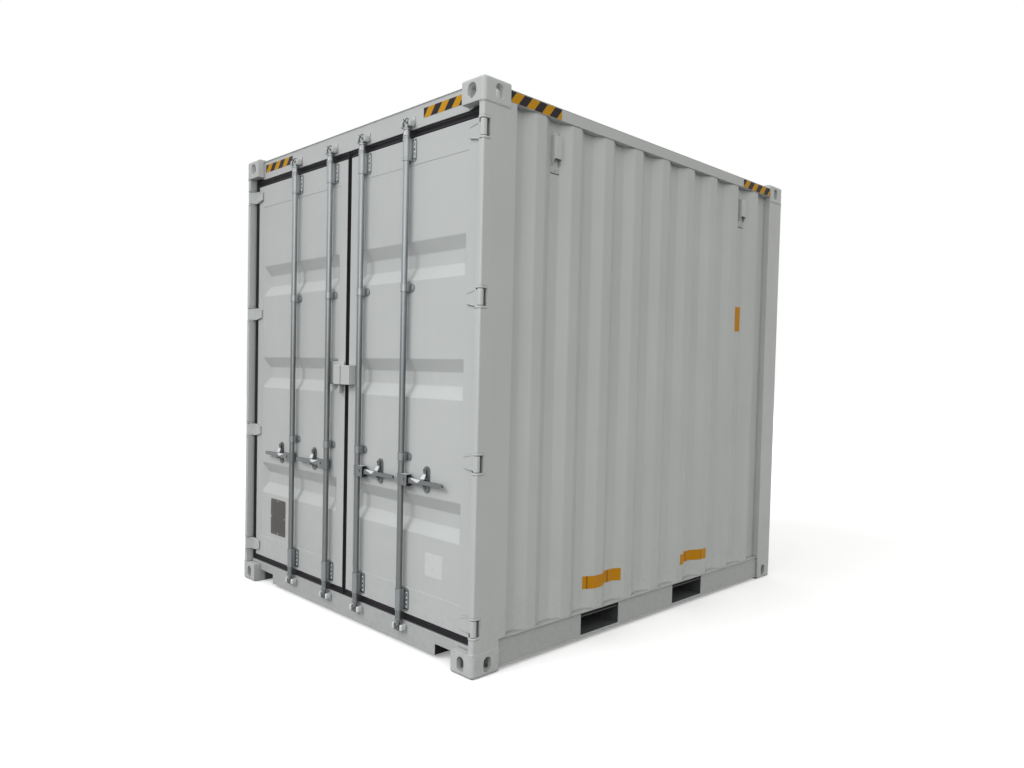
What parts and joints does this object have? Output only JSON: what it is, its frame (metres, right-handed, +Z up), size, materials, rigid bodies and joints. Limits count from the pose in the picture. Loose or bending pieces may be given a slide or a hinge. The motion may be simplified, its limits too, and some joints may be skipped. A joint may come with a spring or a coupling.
{
  "type": "shipping container, ten foot high cube",
  "caption": "Short high shipping container with corrugated walls, hinged double doors, turning locking bars, fork pockets and hollow corner castings.",
  "frame": {"origin": "on the ground under the middle of the box, level with the undersides of the bottom castings", "axes": "+Z up; -Y out of the doors; +X to the right when facing the doors"},
  "size_m": [2.438, 2.991, 2.896],
  "materials": {
    "paint": "light grey-white satin paint over steel",
    "underframe": "dull grey underframe coating",
    "galvanised": "hot-dip galvanised",
    "rubber": "black door seal",
    "plywood": "varnished plywood floor",
    "plate": "weathered bare data plate"
  },
  "bodies": {
    "root": {"corner_castings_bottom": "paint", "corner_castings_top": "paint", "door_posts": "paint", "rear_posts": "paint", "door_header": "paint", "door_sill": "paint", "rear_top_rail": "paint", "rear_bottom_rail": "paint", "top_side_rails": "paint", "bottom_side_rails": "paint", "fork_pockets": "underframe", "cross_members": "underframe", "side_wall_right": "paint", "side_wall_left": "paint", "end_wall": "paint", "roof_panel": "paint", "floor": "plywood", "side_vents": "paint", "hinge_lugs": "paint", "cam_keepers": "paint"},
    "door_left": {"door_frame_left": "paint", "door_panel_left": "paint", "door_gasket_left": "rubber", "hinge_blades_left": "paint", "bar_guides_left": "galvanised", "handle_retainers_left": "galvanised", "lock_box_left": "paint", "data_plate": "plate"},
    "door_right": {"door_frame_right": "paint", "door_panel_right": "paint", "door_gasket_right": "rubber", "hinge_blades_right": "paint", "bar_guides_right": "galvanised", "handle_retainers_right": "galvanised", "lock_box_right": "paint"},
    "bar_1": {"locking_bar_1": "galvanised"},
    "handle_1": {"door_handle_1": "galvanised"},
    "catch_1": {"handle_catch_1": "galvanised"},
    "bar_2": {"locking_bar_2": "galvanised"},
    "handle_2": {"door_handle_2": "galvanised"},
    "catch_2": {"handle_catch_2": "galvanised"},
    "bar_3": {"locking_bar_3": "galvanised"},
    "handle_3": {"door_handle_3": "galvanised"},
    "catch_3": {"handle_catch_3": "galvanised"},
    "bar_4": {"locking_bar_4": "galvanised"},
    "handle_4": {"door_handle_4": "galvanised"},
    "catch_4": {"handle_catch_4": "galvanised"}
  },
  "joints": [
    {"name": "door_left_swing", "type": "hinge", "parent": "root", "child": "door_left", "pos_m": [-1.199, -1.4755, 1.45], "axis": [0, 0, 1], "range_deg": [-260, 0]},
    {"name": "door_right_swing", "type": "hinge", "parent": "root", "child": "door_right", "pos_m": [1.199, -1.4755, 1.45], "axis": [0, 0, -1], "range_deg": [-260, 0]},
    {"name": "bar_1_turn", "type": "hinge", "parent": "door_left", "child": "bar_1", "pos_m": [-0.59, -1.4745, 1.45], "axis": [0, 0, 1], "range_deg": [0, 100]},
    {"name": "handle_1_lift", "type": "hinge", "parent": "bar_1", "child": "handle_1", "pos_m": [-0.634, -1.4745, 0.909], "axis": [0, 1, 0], "range_deg": [0, 12]},
    {"name": "catch_1_flip", "type": "hinge", "parent": "door_left", "child": "catch_1", "pos_m": [-0.776, -1.4795, 0.972], "axis": [0, -1, 0], "range_deg": [0, 91]},
    {"name": "bar_2_turn", "type": "hinge", "parent": "door_left", "child": "bar_2", "pos_m": [-0.17, -1.4745, 1.45], "axis": [0, 0, 1], "range_deg": [0, 100]},
    {"name": "handle_2_lift", "type": "hinge", "parent": "bar_2", "child": "handle_2", "pos_m": [-0.214, -1.4745, 0.909], "axis": [0, 1, 0], "range_deg": [0, 12]},
    {"name": "catch_2_flip", "type": "hinge", "parent": "door_left", "child": "catch_2", "pos_m": [-0.356, -1.4795, 0.972], "axis": [0, -1, 0], "range_deg": [0, 91]},
    {"name": "bar_3_turn", "type": "hinge", "parent": "door_right", "child": "bar_3", "pos_m": [0.17, -1.4745, 1.45], "axis": [0, 0, -1], "range_deg": [0, 100]},
    {"name": "handle_3_lift", "type": "hinge", "parent": "bar_3", "child": "handle_3", "pos_m": [0.214, -1.4745, 0.909], "axis": [0, -1, 0], "range_deg": [0, 12]},
    {"name": "catch_3_flip", "type": "hinge", "parent": "door_right", "child": "catch_3", "pos_m": [0.356, -1.4795, 0.972], "axis": [0, 1, 0], "range_deg": [0, 91]},
    {"name": "bar_4_turn", "type": "hinge", "parent": "door_right", "child": "bar_4", "pos_m": [0.59, -1.4745, 1.45], "axis": [0, 0, -1], "range_deg": [0, 100]},
    {"name": "handle_4_lift", "type": "hinge", "parent": "bar_4", "child": "handle_4", "pos_m": [0.634, -1.4745, 0.909], "axis": [0, -1, 0], "range_deg": [0, 12]},
    {"name": "catch_4_flip", "type": "hinge", "parent": "door_right", "child": "catch_4", "pos_m": [0.776, -1.4795, 0.972], "axis": [0, 1, 0], "range_deg": [0, 91]}
  ],
  "couplings": [
    {"joint": "catch_1_flip", "follows": "handle_1_lift", "ratio": 7.5},
    {"joint": "catch_2_flip", "follows": "handle_2_lift", "ratio": 7.5},
    {"joint": "catch_3_flip", "follows": "handle_3_lift", "ratio": 7.5},
    {"joint": "catch_4_flip", "follows": "handle_4_lift", "ratio": 7.5}
  ]
}
